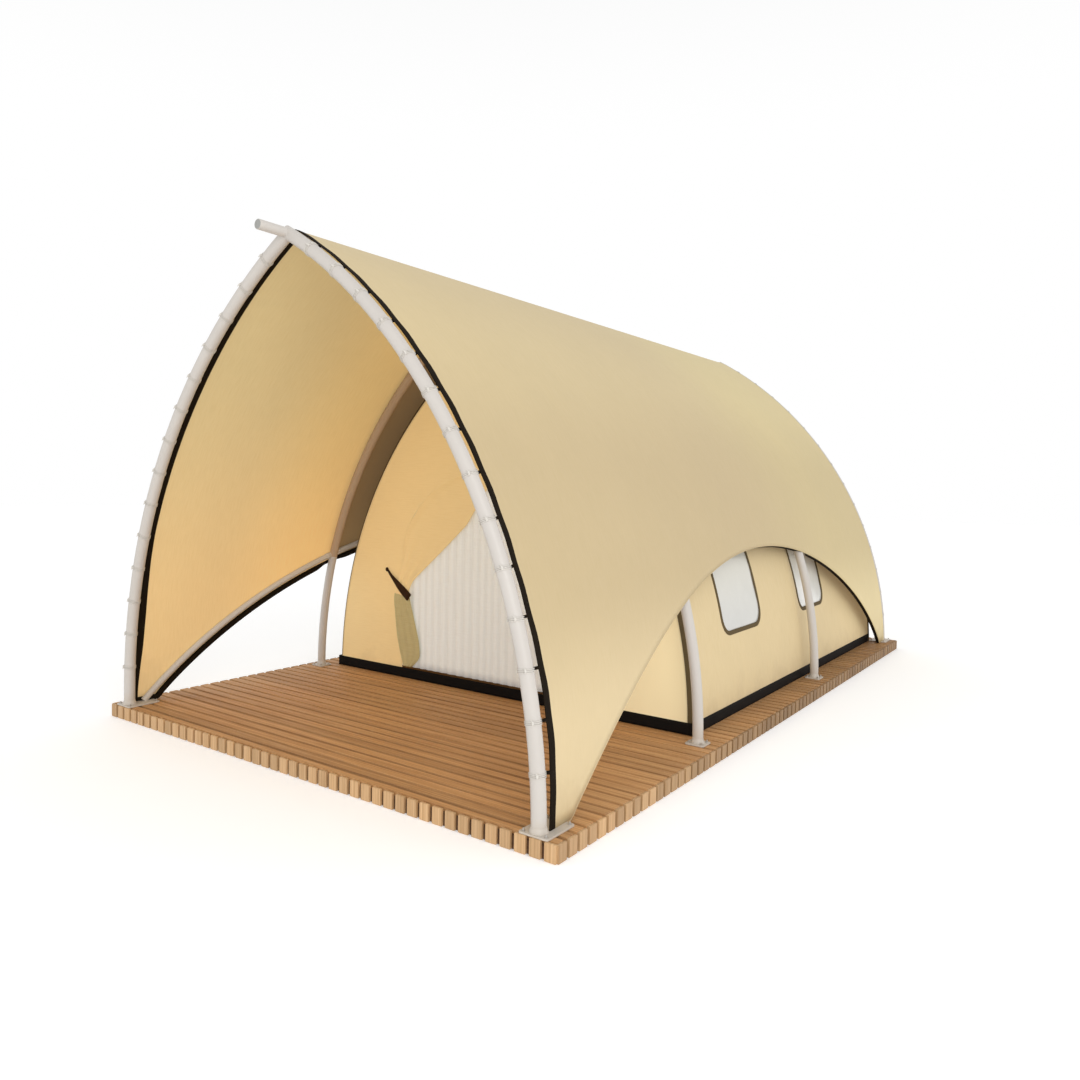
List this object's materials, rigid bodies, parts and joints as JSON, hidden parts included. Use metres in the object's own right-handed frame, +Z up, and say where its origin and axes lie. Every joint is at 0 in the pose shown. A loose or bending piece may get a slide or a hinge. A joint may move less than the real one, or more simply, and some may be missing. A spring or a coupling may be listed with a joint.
{
  "type": "safari tent",
  "caption": "Pointed-arch safari tent on a timber deck: outer canopy on steel arches, open porch, and an inner tent with a curtained doorway and side windows.",
  "frame": {"origin": "ground level under the middle of the deck", "axes": "+Z up, +Y along the ridge towards the rear, so the porch faces -Y, and +X to the right seen from the front"},
  "size_m": [5, 9.26, 4.1716],
  "materials": {
    "timber": "oiled boards",
    "white_steel": "off-white powder coat",
    "canopy_membrane": "coated membrane",
    "inner_fabric": "canvas",
    "curtain_fabric": "fine net",
    "window_film": "milky clear film",
    "dark_webbing": "dark coated cloth"
  },
  "bodies": {
    "root": {"deck_floor": "timber", "deck_fascia_front": "timber", "deck_fascia_rear": "timber", "deck_fascia_left": "timber", "deck_fascia_right": "timber", "deck_bearer_left": "timber", "deck_bearer_middle": "timber", "deck_bearer_right": "timber", "front_arch_left": "white_steel", "front_arch_right": "white_steel", "front_rib_left": "white_steel", "front_rib_right": "white_steel", "rear_rib_left": "white_steel", "rear_rib_right": "white_steel", "rear_arch_left": "white_steel", "rear_arch_right": "white_steel", "ridge_tube": "white_steel", "side_rail_left_front": "white_steel", "side_rail_left_middle": "white_steel", "side_rail_left_rear": "white_steel", "side_rail_right_front": "white_steel", "side_rail_right_middle": "white_steel", "side_rail_right_rear": "white_steel", "canopy_left_porch": "canopy_membrane", "canopy_left_middle": "canopy_membrane", "canopy_left_rear": "canopy_membrane", "canopy_right_porch": "canopy_membrane", "canopy_right_middle": "canopy_membrane", "canopy_right_rear": "canopy_membrane", "inner_front_left": "inner_fabric", "inner_front_right": "inner_fabric", "inner_front_top": "inner_fabric", "inner_wall_left": "inner_fabric", "inner_wall_right": "inner_fabric", "inner_rear": "inner_fabric", "door_cloth_left": "inner_fabric", "door_cloth_right": "inner_fabric", "door_curtain": "curtain_fabric", "window_pane_left_front": "window_film", "window_pane_left_rear": "window_film", "window_pane_right_front": "window_film", "window_pane_right_rear": "window_film", "door_sill": "dark_webbing", "door_tie_left": "dark_webbing", "door_tie_right": "dark_webbing"}
  },
  "joints": []
}
